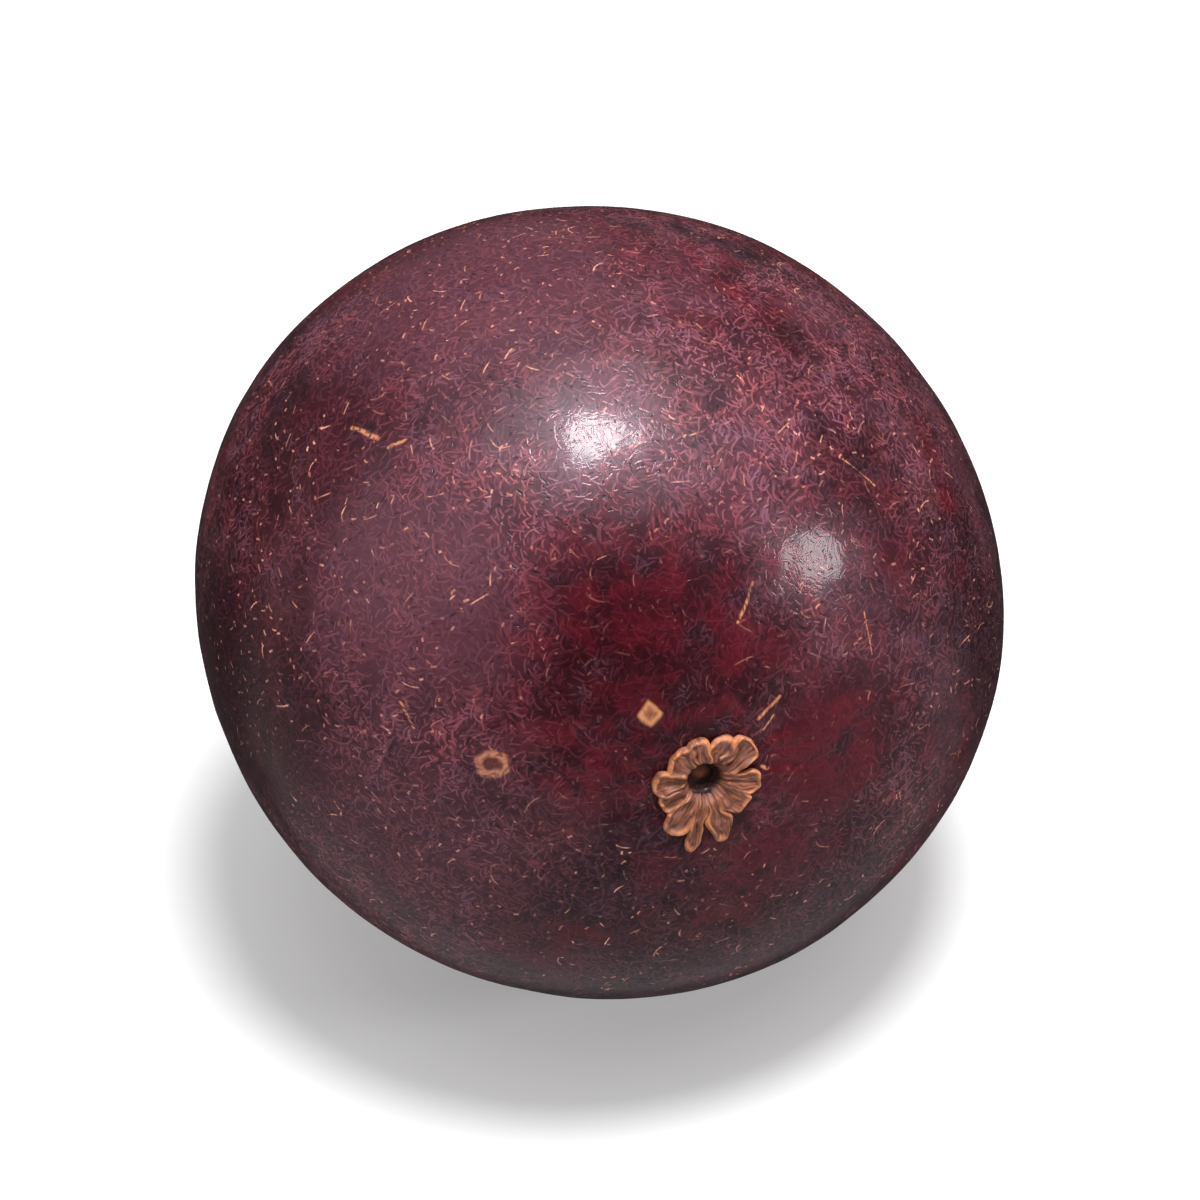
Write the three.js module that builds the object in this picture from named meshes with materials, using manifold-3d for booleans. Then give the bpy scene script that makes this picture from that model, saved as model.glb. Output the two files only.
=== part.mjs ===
// Indian plum: a ripe, nearly round berry that lies on its side, with the crown of dried styles
// that its flower left standing at the apex. Millimetres, +Z up. The origin is on the surface that
// the fruit rests on, under the middle of its bounding box. The apex faces -Y and a little up.
import * as THREE from "three";
import { mergeVertices } from "three/addons/utils/BufferGeometryUtils.js";
import Module from "manifold-3d";

const wasm = await Module();
wasm.setup();
const { degToRad } = THREE.MathUtils;

// The berry, in its own frame: its axis along Z, from the stem end up to the apex.
const EQUATOR_RADIUS = 12;
const HALF_LENGTH = 11.2; // from the middle to the apex, before its dimple
const SHOULDER = 0.95; // under 1 makes the shoulders of the profile fuller than an ellipse's
const OVAL_SHARE = 0.022; // how far the equator is from round, as a share of its radius
const OVAL_ANGLE = degToRad(-42); // where round the axis the equator is widest
const LOBING_SHARE = 0.004; // three faint swellings round the equator
const LOBING_ANGLE = degToRad(20);
const APEX_DIMPLE = { depth: 0.25, width: 1.7 };
const STEM_DIMPLE = { depth: 0.4, width: 2.3 };

// How it lies.
const AXIS_RISE = degToRad(14.4); // of the apex above the horizontal
const REST_SPOT_RADIUS = 2.6; // of the small flat spot that it rests on

// The crown: six dried styles round a pit. Each style ends in one or two stigma lobes, given by the
// direction round the axis seen from outside (0 to the right, 90 up), the reach from the axis and
// the width. Lobes of one style are grown together at their foot.
const PIT_RADIUS = 0.42;
const STYLE_THICKNESS = 0.3;
const STYLE_BEVEL = 0.05;
const LOBE_FOOT_SHARE = 0.3; // of a lobe's width, at the pit
const LOBE_SWELL = 0.6; // how far along to its shoulders a lobe swells to its full width
const CROWN_GAP = 0.04; // from the styles' underside to the skin
const STYLES = {
  style_left: [
    { angle: 198, reach: 1.46, width: 0.58 },
    { angle: 174, reach: 1.54, width: 0.64 },
  ],
  style_top: [
    { angle: 131, reach: 1.34, width: 0.7 },
    { angle: 100, reach: 1.34, width: 0.62 },
  ],
  style_upper_right: [
    { angle: 61, reach: 1.46, width: 0.6 },
    { angle: 32, reach: 1.74, width: 0.76 },
  ],
  style_right: [
    { angle: -12, reach: 1.66, width: 0.56 },
    { angle: -44, reach: 1.54, width: 0.66 },
  ],
  style_bottom: [{ angle: -77, reach: 2.1, width: 0.5 }],
  style_lower_left: [
    { angle: -105, reach: 2.24, width: 0.38 },
    { angle: -129, reach: 1.84, width: 0.64 },
  ],
};

// Fineness of the meshes.
const ROUND_STEPS = 64;
const PROFILE_STEPS = 36;
const LOBE_CURVE_STEPS = 5;
const SEAT_STEPS = 40;

const skin = new THREE.MeshStandardMaterial({
  color: new THREE.Color(0.21, 0.035, 0.06),
  roughness: 0.32,
  metalness: 0,
});
const driedStyle = new THREE.MeshStandardMaterial({
  color: new THREE.Color(0.4, 0.18, 0.09),
  roughness: 0.7,
  metalness: 0,
});

function toSolid(geometry) {
  const bare = geometry.clone();
  bare.deleteAttribute("normal");
  bare.deleteAttribute("uv");
  const merged = mergeVertices(bare, 1e-4);
  return new wasm.Manifold(
    new wasm.Mesh({
      numProp: 3,
      vertProperties: merged.attributes.position.array,
      triVerts: new Uint32Array(merged.index.array),
    }),
  );
}

function toGeometry(solid) {
  const mesh = solid.getMesh();
  const geometry = new THREE.BufferGeometry();
  geometry.setAttribute("position", new THREE.BufferAttribute(mesh.vertProperties, 3));
  geometry.setIndex(new THREE.BufferAttribute(mesh.triVerts, 1));
  geometry.computeVertexNormals();
  return geometry;
}

// How much lower the skin is, at a distance from the axis, than the same profile with no dimple.
function dimpleDepth(dimple, radius) {
  return dimple.depth * Math.exp(-((radius / dimple.width) ** 2));
}

// A point of the profile: turn runs from 0 at the stem end to PI at the apex.
function profilePoint(turn) {
  const radius = EQUATOR_RADIUS * Math.max(Math.sin(turn), 0) ** SHOULDER;
  const rise = -Math.cos(turn);
  const height = HALF_LENGTH * Math.sign(rise) * Math.abs(rise) ** SHOULDER;
  const dimple = rise > 0 ? APEX_DIMPLE : STEM_DIMPLE;
  return new THREE.Vector2(radius, height - Math.sign(rise) * dimpleDepth(dimple, radius));
}

// How far the berry swells out round its axis, as a share of the profile's radius.
function swelling(angle) {
  const oval = OVAL_SHARE * Math.cos(2 * (angle - OVAL_ANGLE));
  const lobing = LOBING_SHARE * Math.cos(3 * (angle - LOBING_ANGLE));
  return 1 + oval + lobing;
}

function berryGeometry() {
  const profile = [];
  for (let i = 0; i <= PROFILE_STEPS; i++) {
    profile.push(profilePoint((Math.PI * i) / PROFILE_STEPS));
  }
  profile[0].x = 0;
  profile[PROFILE_STEPS].x = 0;
  const geometry = new THREE.LatheGeometry(profile, ROUND_STEPS);
  geometry.rotateX(Math.PI / 2);
  const points = geometry.attributes.position;
  for (let i = 0; i < points.count; i++) {
    const grow = swelling(Math.atan2(points.getY(i), points.getX(i)));
    points.setXY(i, points.getX(i) * grow, points.getY(i) * grow);
  }
  return geometry;
}

// One stigma lobe: a spoon that is narrow at the pit and widest near its round tip.
function lobeGeometry({ angle, reach, width }) {
  const half = width / 2 - STYLE_BEVEL;
  const start = PIT_RADIUS + STYLE_BEVEL;
  const tip = reach - STYLE_BEVEL;
  const shoulder = tip - half;
  const foot = LOBE_FOOT_SHARE * half;
  const swell = THREE.MathUtils.lerp(start, shoulder, LOBE_SWELL);
  const outline = new THREE.Shape();
  outline.moveTo(start, -foot);
  outline.quadraticCurveTo(swell, -half, shoulder, -half);
  outline.absarc(shoulder, 0, half, -Math.PI / 2, Math.PI / 2, false);
  outline.quadraticCurveTo(swell, half, start, foot);
  outline.closePath();
  const geometry = new THREE.ExtrudeGeometry(outline, {
    depth: STYLE_THICKNESS - 2 * STYLE_BEVEL,
    bevelThickness: STYLE_BEVEL,
    bevelSize: STYLE_BEVEL,
    bevelSegments: 1,
    curveSegments: LOBE_CURVE_STEPS,
  });
  geometry.translate(0, 0, STYLE_BEVEL);
  geometry.rotateZ(degToRad(angle));
  return geometry;
}

function styleMesh(name, lobes) {
  const solid = lobes.map((lobe) => toSolid(lobeGeometry(lobe))).reduce((a, b) => a.add(b));
  const mesh = new THREE.Mesh(toGeometry(solid), driedStyle);
  mesh.name = name;
  return mesh;
}

// The highest that the skin reaches under the crown.
function crownSeat() {
  const reach = Math.max(...Object.values(STYLES).flat().map((lobe) => lobe.reach));
  let highest = 0;
  for (let i = 0; i <= SEAT_STEPS; i++) {
    const point = profilePoint(Math.PI - Math.asin(reach / EQUATOR_RADIUS) * (i / SEAT_STEPS));
    highest = Math.max(highest, point.y);
  }
  return highest;
}

// Cuts the berry where it meets the surface that it rests on, which leaves the flat spot.
function restingBerry(whole, frame) {
  frame.updateMatrixWorld(true);
  const cutter = new THREE.BoxGeometry(4 * EQUATOR_RADIUS, 4 * EQUATOR_RADIUS, EQUATOR_RADIUS);
  cutter.translate(0, 0, -EQUATOR_RADIUS / 2);
  cutter.applyMatrix4(frame.matrixWorld.clone().invert());
  return toGeometry(toSolid(whole).subtract(toSolid(cutter)));
}

// The fruit's own frame stands in the part's frame, turned so that the apex faces -Y.
const plum = new THREE.Group();
const fruitFrame = new THREE.Group();
fruitFrame.rotation.x = Math.PI / 2 - AXIS_RISE;
plum.add(fruitFrame);

const fruit = new THREE.Mesh(berryGeometry(), skin);
fruit.name = "fruit";
fruitFrame.add(fruit);

const crown = new THREE.Group();
crown.position.z = crownSeat() + CROWN_GAP;
for (const [name, lobes] of Object.entries(STYLES)) {
  crown.add(styleMesh(name, lobes));
}
fruitFrame.add(crown);

// Sink the berry until the flat spot has its radius, over the middle of the bounding box.
const outside = new THREE.Box3().setFromObject(plum, true);
const middle = outside.getCenter(new THREE.Vector3());
const cutDepth = REST_SPOT_RADIUS ** 2 / (2 * EQUATOR_RADIUS);
fruitFrame.position.set(-middle.x, -middle.y, -outside.min.z - cutDepth);
fruit.geometry = restingBerry(fruit.geometry, fruitFrame);

export default plum;
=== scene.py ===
"""An indian plum on a pale studio floor: a ripe berry that lies on its side, its crown of dried
styles towards the camera. The berry's fine surface and the crown are worked out from the same
driving dimensions as the CAD solids, and stand in those solids' places.

Shapes are worked out in millimetres in the berry's own frame: its axis along Z, from the stem end up
to the apex. Only the finished meshes are in metres, in the part's frame.
"""
import functools
import math

import bmesh
import bpy
import numpy as np
from mathutils import Matrix, Vector


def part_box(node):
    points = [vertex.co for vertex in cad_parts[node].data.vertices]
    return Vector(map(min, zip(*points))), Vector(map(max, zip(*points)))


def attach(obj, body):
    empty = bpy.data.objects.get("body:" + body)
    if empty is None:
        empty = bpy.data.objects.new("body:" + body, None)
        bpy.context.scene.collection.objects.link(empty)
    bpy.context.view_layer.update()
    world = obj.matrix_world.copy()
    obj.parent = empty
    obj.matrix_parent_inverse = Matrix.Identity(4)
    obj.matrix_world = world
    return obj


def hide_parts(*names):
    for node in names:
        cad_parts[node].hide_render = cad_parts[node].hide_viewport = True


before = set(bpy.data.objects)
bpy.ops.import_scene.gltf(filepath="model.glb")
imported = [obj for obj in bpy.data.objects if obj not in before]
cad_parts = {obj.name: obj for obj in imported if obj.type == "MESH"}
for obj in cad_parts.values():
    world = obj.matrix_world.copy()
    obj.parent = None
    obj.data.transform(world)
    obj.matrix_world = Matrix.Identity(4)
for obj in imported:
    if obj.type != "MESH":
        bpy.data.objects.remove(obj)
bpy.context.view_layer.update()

MM = 0.001

# The berry's driving dimensions, in millimetres and radians, as in the CAD.
EQUATOR_RADIUS = 12.0
HALF_LENGTH = 11.2
SHOULDER = 0.95
OVAL_SHARE = 0.022
OVAL_ANGLE = math.radians(-42)
LOBING_SHARE = 0.004
LOBING_ANGLE = math.radians(20)
APEX_DIMPLE = {"depth": 0.25, "width": 1.7}
STEM_DIMPLE = {"depth": 0.4, "width": 2.3}
AXIS_RISE = math.radians(14.4)

# The crown: each style's stigma lobes, by direction round the axis in degrees, reach and width.
PIT_RADIUS = 0.42
STYLES = {
    "style_left": [(198, 1.46, 0.58), (174, 1.54, 0.64)],
    "style_top": [(131, 1.34, 0.7), (100, 1.34, 0.62)],
    "style_upper_right": [(61, 1.46, 0.6), (32, 1.74, 0.76)],
    "style_right": [(-12, 1.66, 0.56), (-44, 1.54, 0.66)],
    "style_bottom": [(-77, 2.1, 0.5)],
    "style_lower_left": [(-105, 2.24, 0.38), (-129, 1.84, 0.64)],
}

# The camera, in metres, radians and a lens in mm.
CAMERA_AZIMUTH = math.radians(-16)
CAMERA_ELEVATION = math.radians(42.4)
CAMERA_DISTANCE = 0.138
LENS = 138

# The studio: how bright its parts are, and where.
HORIZON = 0.12
OVERHEAD = 0.6
DARK = 0.02
DARK_ELEVATION = math.radians(32)
DARK_EDGE = (66, 36)  # the angles from its middle, in degrees, that it is gone past and full within
BELOW_BACK = 0.03
BELOW_FRONT = 0.24
PANEL = 0.8
PANEL_AZIMUTH = CAMERA_AZIMUTH - math.radians(66)
PANEL_ELEVATION = math.radians(40)
PANEL_EDGE = (34, 22)
BACKDROP = 0.92
FLOOR_BASE = 0.65
FLOOR_GLOW = 0.28
FLOOR_HALF_SIZE = 3.0
FLOOR_DROP = 0.01  # of the floor below the berry's flat spot, in mm, so that they don't mix

# The softboxes: the direction from the part, the distance and the size in metres, and the power.
SOFTBOXES = {
    "key": ((0.06, -0.10, 1.0), 0.5, 0.140, 2.7),
    "glow": ((0.06, -0.10, 1.0), 0.52, 0.54, 1.05),
    "fill": ((0.77, -0.50, 0.36), 0.5, 0.10, 0.6),
}


# ---------------------------------------------------------------- numbers and random surfaces

def smoothstep(value, low, high):
    """0 below low, 1 above high and a smooth rise between; low may be above high."""
    share = np.clip((value - low) / (high - low), 0, 1)
    return share * share * (3 - 2 * share)


def hump(value, middle, width):
    """1 at the middle, falling off smoothly over about a width on both sides."""
    return np.exp(-(((value - middle) / width) ** 2))


def swells(points, size, seed, count=28):
    """Smooth random swells about a size in mm across, mostly between -1 and 1."""
    rng = np.random.default_rng(seed)
    directions = rng.normal(size=(count, 3))
    directions /= np.linalg.norm(directions, axis=1, keepdims=True)
    pitches = 2 * math.pi / (size * rng.uniform(0.7, 1.6, count))
    phases = rng.uniform(0, 2 * math.pi, count)
    waves = np.sin(points @ (directions * pitches[:, None]).T + phases)
    return waves.sum(axis=1) / math.sqrt(count)


def clouds(points, size, seed, octaves=3):
    """Swells with finer and fainter swells on them, from 0 to 1 and 0.5 on average."""
    total = np.zeros(len(points))
    for octave in range(octaves):
        total += 0.55**octave * swells(points, size / 2**octave, seed * 10 + octave)
    return np.clip(0.5 + 0.2 * total, 0, 1)


def spokes(angle, counts, seed):
    """Random spokes round an axis, between -1 and 1: one wave for each count of spokes."""
    rng = np.random.default_rng(seed)
    total = np.zeros_like(angle)
    for count in counts:
        total += rng.uniform(0.5, 1) * np.cos(count * angle + rng.uniform(0, 2 * math.pi))
    return total / (0.75 * math.sqrt(len(counts) * 2))


def direction(polar, around):
    """The unit vector at a polar angle from the apex and a direction round the axis, in degrees."""
    polar, around = math.radians(polar), math.radians(around)
    return np.array(
        [
            math.sin(polar) * math.cos(around),
            math.sin(polar) * math.sin(around),
            math.cos(polar),
        ]
    )


# ---------------------------------------------------------------- the berry's shape

def dimple_depth(dimple, radius):
    return dimple["depth"] * np.exp(-((radius / dimple["width"]) ** 2))


def profile(turn):
    """Radius and height of the smooth profile; turn runs from 0 at the stem end to pi at the apex."""
    radius = EQUATOR_RADIUS * np.clip(np.sin(turn), 0, 1) ** SHOULDER
    rise = -np.cos(turn)
    height = HALF_LENGTH * np.sign(rise) * np.abs(rise) ** SHOULDER
    depth = np.where(rise > 0, dimple_depth(APEX_DIMPLE, radius), dimple_depth(STEM_DIMPLE, radius))
    return radius, height - np.sign(rise) * depth


def apex_height(radius):
    """Height of the smooth skin over the middle, near the apex, at a distance from the axis."""
    turn = np.arcsin(np.clip(radius / EQUATOR_RADIUS, 0, 1) ** (1 / SHOULDER))
    return profile(math.pi - turn)[1]


def swelling(angle):
    """How far the berry swells out round its axis, as a share of the profile's radius."""
    oval = OVAL_SHARE * np.cos(2 * (angle - OVAL_ANGLE))
    lobing = LOBING_SHARE * np.cos(3 * (angle - LOBING_ANGLE))
    return 1 + oval + lobing


def berry_points(turns, angles):
    """The smooth berry at each turn and angle."""
    radius, height = profile(turns)
    spread = radius * swelling(angles)
    return np.stack([spread * np.cos(angles), spread * np.sin(angles), height], axis=-1)


def to_part(points):
    """Turns points from the berry's own frame to the part's directions; the apex faces -Y."""
    tilt = Matrix.Rotation(math.pi / 2 - AXIS_RISE, 3, "X")
    return points @ np.array(tilt.transposed())


def berry_seat():
    """Where the berry's middle is in the part, in mm: its right, back and top meet the CAD's."""
    turns = np.linspace(0, math.pi, 721)[:, None]
    angles = np.linspace(-math.pi, math.pi, 1440, endpoint=False)[None, :]
    smooth = to_part(berry_points(*np.broadcast_arrays(turns, angles)).reshape(-1, 3))
    return np.array(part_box("fruit")[1]) / MM - smooth.max(axis=0)


SEAT = berry_seat()


def place(points):
    """Takes points from the berry's own frame, in mm, to the part's frame, in metres."""
    return (to_part(points) + SEAT) * MM


# ---------------------------------------------------------------- the berry's relief

# Small scars in the skin: the direction from the middle, and in mm the radius and how far each stands
# proud.
SCARS = {
    "chip": {"at": direction(14.0, 121), "radius": 0.4, "proud": 0.03},
    "ring": {"at": direction(30.7, 168.5), "radius": 0.5, "proud": 0.02},
}
# Scratches: from one place to another, each a polar angle and a direction round the axis in degrees,
# and the width in mm.
SCRATCHES = [
    ((29.8, 68.8), (23.6, 72.0), 0.09),
    ((51.0, 52.0), (50.0, 44.0), 0.06),
    ((82.0, 106.0), (79.0, 86.0), 0.07),
    ((73.4, 130.0), (68.8, 128.0), 0.13),
    ((66.5, 127.6), (65.5, 125.0), 0.10),
    ((45.0, 160.0), (42.0, 165.0), 0.08),
    ((20.6, -138.0), (30.2, -134.5), 0.05),
    ((33.6, 33.0), (30.5, 22.0), 0.05),
    ((11.5, 43.0), (16.0, 41.0), 0.10),
    ((11.0, 33.0), (13.5, 36.0), 0.06),
    ((9.4, -3.0), (8.8, -1.0), 0.12),
]
CHIP_SHAPE = (1.25, 1.0, 0.2)  # pointed, and narrower along X than along Y
MARK_FRAY = 0.07  # how far the edges of the chip and the ring stray, in mm

# The stem scar: the radii of its ring and of the scale scars round it, in mm, and their number.
STEM_RING_RADIUS = 1.45
SCALE_SCAR_RADIUS = 2.1
SCALE_SCARS = 6

# The skin's unevenness, from broad to fine: how far apart its swells are and how high, in mm.
UNEVENNESS = [(9, 0.035), (3, 0.012), (0.9, 0.003)]

# Places where the skin differs. Each is a polar angle and a direction round the axis in degrees, the
# distances in mm from there that it is full within and gone past, and its strength.
FRONT_CRIMSON = [
    (20, 105, 1.8, 6.5, 1.0),
    (19, 2, 0.8, 4.8, 1.0),
    (40, 42, 1.0, 4.0, 0.6),
    (16, 148, 1.0, 4.2, 0.9),
]
# Deep red on the left side, kept darker there: painted shade.
LEFT_CRIMSON_AND_SHADE = [(73, 175, 2.0, 6.0, 1.0), (76, 136, 1.0, 5.5, 0.85)]
# Patches of mauve haze on the left and along the top rim: painted sheen.
PAINTED_SHEEN_PATCHES = [(50, 142, 1.5, 5.0, 1.0), (45, -165, 1.0, 6.0, 0.8), (86, 104, 2.0, 6.5, 1.0)]
# No haze below the crown, which darkens it there: painted shade.
CLEAR_OF_HAZE = [(22, -90, 2.0, 6.0, 0.8)]
# Few fibres, so darker plum, on the lower side below the crown and at the right rim: painted shade.
BARE_AS_PAINTED_SHADE = [(30, -95, 4.0, 10.0, 0.85), (58, 0, 3.0, 8.0, 0.75)]
# More fibres round the key highlight, which lighten the skin there: a painted glow.
MATTED_AS_PAINTED_GLOW = [(50, 85, 1.0, 5.0, 1.0)]
RUDDY = [(18, -6, 0.6, 3.2, 0.9)]
NOT_RUDDY = [(22, 111, 1.0, 3.5, 0.5)]
FLECKED = [(76, 152, 3.0, 6.5, 1.0), (80, 100, 2.0, 6.0, 1.0)]


def apex_relief(radius, angle):
    """The pit under the crown, and the skin puckered towards it."""
    pit = -0.36 * smoothstep(radius, 0.5, 0.25) + 0.12 * hump(radius, 0, 0.2)
    reach = smoothstep(radius, 0.7, 1.6) * smoothstep(radius, 5.2, 2.0)
    puckers = spokes(angle + 0.06 * radius, [7, 9, 11, 14, 17, 22, 29], seed=5)
    return pit + 0.03 * reach * puckers


def stem_relief(radius, angle, points):
    """The corky scar where the stalk let go: a broken ring, a sunken disc and scale scars."""
    broken = 0.75 + 0.35 * spokes(angle, [2, 3, 5, 8, 13], seed=8)
    rim = STEM_RING_RADIUS + 0.06 * spokes(angle, [2, 3, 4, 7], seed=9)
    ring = 0.17 * broken * hump(radius, rim, 0.16)
    disc = -0.16 * smoothstep(radius, rim, rim - 0.25)
    nub = 0.2 * hump(radius, 0.0, 0.3)
    cork = 0.022 * swells(points, 0.5, seed=10) + 0.008 * swells(points, 0.24, seed=12)
    cork *= smoothstep(radius, 3.4, 1.2)
    scales = np.zeros_like(radius)
    for index in range(SCALE_SCARS):
        middle = 2 * math.pi * (index + 0.3 * math.sin(2.6 * index)) / SCALE_SCARS
        turned = np.angle(np.exp(1j * (angle - middle)))
        bow = SCALE_SCAR_RADIUS - 0.9 * turned**2
        scales += 0.08 * hump(radius, bow, 0.09) * hump(turned, 0, 0.3)
    puckers = spokes(angle, [6, 8, 11, 15, 19], seed=11)
    drawn = 0.035 * puckers * smoothstep(radius, 1.7, 2.4) * smoothstep(radius, 6.0, 2.8)
    return ring + disc + nub + cork + scales + drawn


def on_ball(points):
    """The places of the skin's points, as if the berry were a ball of the equator's size."""
    return EQUATOR_RADIUS * points / np.linalg.norm(points, axis=1, keepdims=True)


def distance_to(points, place):
    """How far points of the skin are from a direction's place on it, in mm at the equator's size."""
    return np.linalg.norm(on_ball(points) - EQUATOR_RADIUS * place, axis=1)


def near(points, polar, around, inner, outer):
    """1 within an inner distance of a place on the berry, in mm, and 0 past an outer one."""
    return smoothstep(distance_to(points, direction(polar, around)), outer, inner)


def away_from_scratches(points, scratches):
    """From the nearest of some scratches to each point of the skin, in widths of that scratch."""
    offsets = []
    for start, end, width in scratches:
        start = EQUATOR_RADIUS * direction(*start)
        run = EQUATOR_RADIUS * direction(*end) - start
        offset = on_ball(points) - start
        along = np.clip(offset @ run / (run @ run), 0, 1)
        offsets.append((offset - along[:, None] * run) / width)
    nearest = np.argmin([np.linalg.norm(offset, axis=1) for offset in offsets], axis=0)
    return np.stack(offsets)[nearest, np.arange(len(points))]


def add_marks(mesh, points):
    """How far each point is from the marks in the skin: the scratches, the chip and the ring. The
    scratches are dealt out in two sets, so that those of one set are well apart."""
    add_vectors(mesh, "scratch_even", away_from_scratches(points, SCRATCHES[0::2]))
    add_vectors(mesh, "scratch_odd", away_from_scratches(points, SCRATCHES[1::2]))
    frayed = MARK_FRAY * swells(points, 0.45, seed=35)
    chip = np.abs(on_ball(points) - EQUATOR_RADIUS * SCARS["chip"]["at"]) @ CHIP_SHAPE
    add_values(mesh, "from_chip", chip + frayed)
    add_values(mesh, "from_ring", distance_to(points, SCARS["ring"]["at"]) + frayed)
    add_values(mesh, "crumbs", clouds(points, 0.36, seed=36, octaves=2))


def scar_relief(points):
    """How far the small scars stand out of the skin."""
    total = np.zeros(len(points))
    for scar in SCARS.values():
        distance = distance_to(points, scar["at"])
        total += scar["proud"] * smoothstep(distance, scar["radius"] * 1.2, scar["radius"] * 0.8)
    return total


def relief(points, radius, angle):
    """How far the real skin stands off the smooth berry, in mm."""
    total = scar_relief(points)
    for seed, (size, height) in enumerate(UNEVENNESS, start=1):
        total += height * swells(points, size, seed)
    near_apex = points[:, 2] > 0
    total += np.where(near_apex, apex_relief(radius, angle), stem_relief(radius, angle, points))
    return total


def patch(points, places):
    """The most that any of some places, with its strength last, makes of each point."""
    return np.max([strength * near(points, *place) for *place, strength in places], axis=0)


def add_zones(mesh, points, radius, angle):
    """Where the skin is crimson, brown, hazy with bloom and painted sheen, dense with fibres, ruddy,
    flecked or corky, and where the stem scar stands proud, each from 0 to 1. Painted shade keeps the
    left dark and thins the fibres below the crown and at the right rim; a painted glow makes them
    denser round the key highlight."""
    front = patch(points, FRONT_CRIMSON)
    left = patch(points, LEFT_CRIMSON_AND_SHADE)
    painted_sheen = patch(points, PAINTED_SHEEN_PATCHES)
    ragged = clouds(points, 1.7, seed=22)

    elsewhere = 0.8 * smoothstep(clouds(points, 6.5, seed=21), 0.56, 0.8)
    crimson = np.max([front, 0.8 * left, elsewhere], axis=0) * (1 - 0.8 * painted_sheen)
    add_values(mesh, "crimson", crimson * smoothstep(ragged, 0.1, 0.45))

    brown = smoothstep(clouds(points, 5.5, seed=23), 0.5, 0.75) * smoothstep(ragged, 0.65, 0.35)
    add_values(mesh, "brown", brown * (1 - 0.8 * front))

    # The haze: the waxy bloom in random clouds, with the patches of painted sheen laid over it.
    haze = smoothstep(clouds(points, 4.0, seed=24, octaves=4), 0.4, 0.75)
    haze *= (1 - patch(points, CLEAR_OF_HAZE)) * (1 - 0.9 * np.maximum(front, left))
    add_values(mesh, "haze", np.maximum(0.6 * haze, painted_sheen))

    # Fewer fibres, and darker for it: painted shade below the crown, at the right rim and on the left;
    # also under the painted sheen and over the front crimson.
    bare_and_painted_light = np.max([patch(points, BARE_AS_PAINTED_SHADE), 0.9 * left, 0.88 * front, 0.7 * painted_sheen], axis=0)
    fibres_and_painted_light = smoothstep(clouds(points, 3.2, seed=25), 0.05, 0.6)
    # Fibres made denser round the key highlight, a painted glow.
    fibres_and_painted_light = np.maximum(fibres_and_painted_light, patch(points, MATTED_AS_PAINTED_GLOW)) * (1 - bare_and_painted_light)
    fibres_and_painted_light *= 0.4 + 0.6 * smoothstep(clouds(points, 1.1, seed=29), 0.25, 0.65)
    add_values(mesh, "fibres_and_painted_light", fibres_and_painted_light)

    ruddy = smoothstep(clouds(points, 1.6, seed=26), 0.35, 0.65)
    # Less ruddy on the left, and so darker there: painted shade.
    ruddy *= (1 - 0.85 * left) * (1 - patch(points, NOT_RUDDY))
    add_values(mesh, "ruddy", np.maximum(ruddy, patch(points, RUDDY)))

    flecked = 0.35 + 0.65 * smoothstep(clouds(points, 2.6, seed=30), 0.35, 0.7)
    flecked = np.maximum(flecked, patch(points, FLECKED)) * (1 - 0.75 * front)
    add_values(mesh, "flecked", flecked)

    ragged_edge = 0.35 * spokes(angle, [5, 8, 13, 19, 27, 34], seed=27)
    ragged_edge += 0.3 * swells(points, 0.8, seed=28)
    at_stem = points[:, 2] < 0
    add_values(mesh, "cork", at_stem * smoothstep(radius - ragged_edge, 2.7, 1.9))
    add_values(mesh, "proud", smoothstep(stem_relief(radius, angle, points), -0.1, 0.14))


def half_turns(fine_step, fine_reach, coarse_step):
    """Turns from a pole to the equator: a fine step in mm near the pole, that widens past a reach."""
    turns = [0.0]
    step = fine_step
    while turns[-1] < math.pi / 2:
        if turns[-1] * EQUATOR_RADIUS > fine_reach:
            step = min(step * 1.07, coarse_step)
        turns.append(turns[-1] + step / EQUATOR_RADIUS)
    return np.array(turns) * (math.pi / 2 / turns[-1])


def grid_mesh(name, points, rows, columns, caps):
    """A closed skin over rows of points that go round, with a cap point at each end."""
    start = np.arange((rows - 1) * columns).reshape(rows - 1, columns)
    beside = np.roll(start, -1, axis=1)
    quads = np.stack([start, beside, beside + columns, start + columns], axis=-1).reshape(-1, 4)
    last = (rows - 1) * columns
    ring = np.arange(columns)
    following = np.roll(ring, -1)
    low = np.full(columns, len(points))
    high = np.full(columns, len(points) + 1)
    faces = quads.tolist()
    faces += np.stack([following, ring, low], axis=-1).tolist()
    faces += np.stack([last + ring, last + following, high], axis=-1).tolist()
    mesh = bpy.data.meshes.new(name)
    mesh.from_pydata(np.concatenate([points, caps]).tolist(), [], faces)
    mesh.shade_smooth()
    return mesh


def add_vectors(mesh, name, vectors):
    attribute = mesh.attributes.new(name, "FLOAT_VECTOR", "POINT")
    attribute.data.foreach_set("vector", np.asarray(vectors, dtype=np.float32).ravel())


def add_values(mesh, name, values):
    attribute = mesh.attributes.new(name, "FLOAT", "POINT")
    attribute.data.foreach_set("value", np.asarray(values, dtype=np.float32))


def add_object(mesh):
    thing = bpy.data.objects.new(mesh.name, mesh)
    bpy.context.scene.collection.objects.link(thing)
    return thing


REST_SOFTNESS = 0.02  # how far off the surface the flat spot's edge begins to round, in mm


def rest_on_floor(points):
    """Flattens, softly, what would be under the surface that the berry rests on."""
    softness = REST_SOFTNESS * MM
    points[:, 2] = (points[:, 2] + np.sqrt(points[:, 2] ** 2 + softness**2)) / 2
    return points


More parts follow.
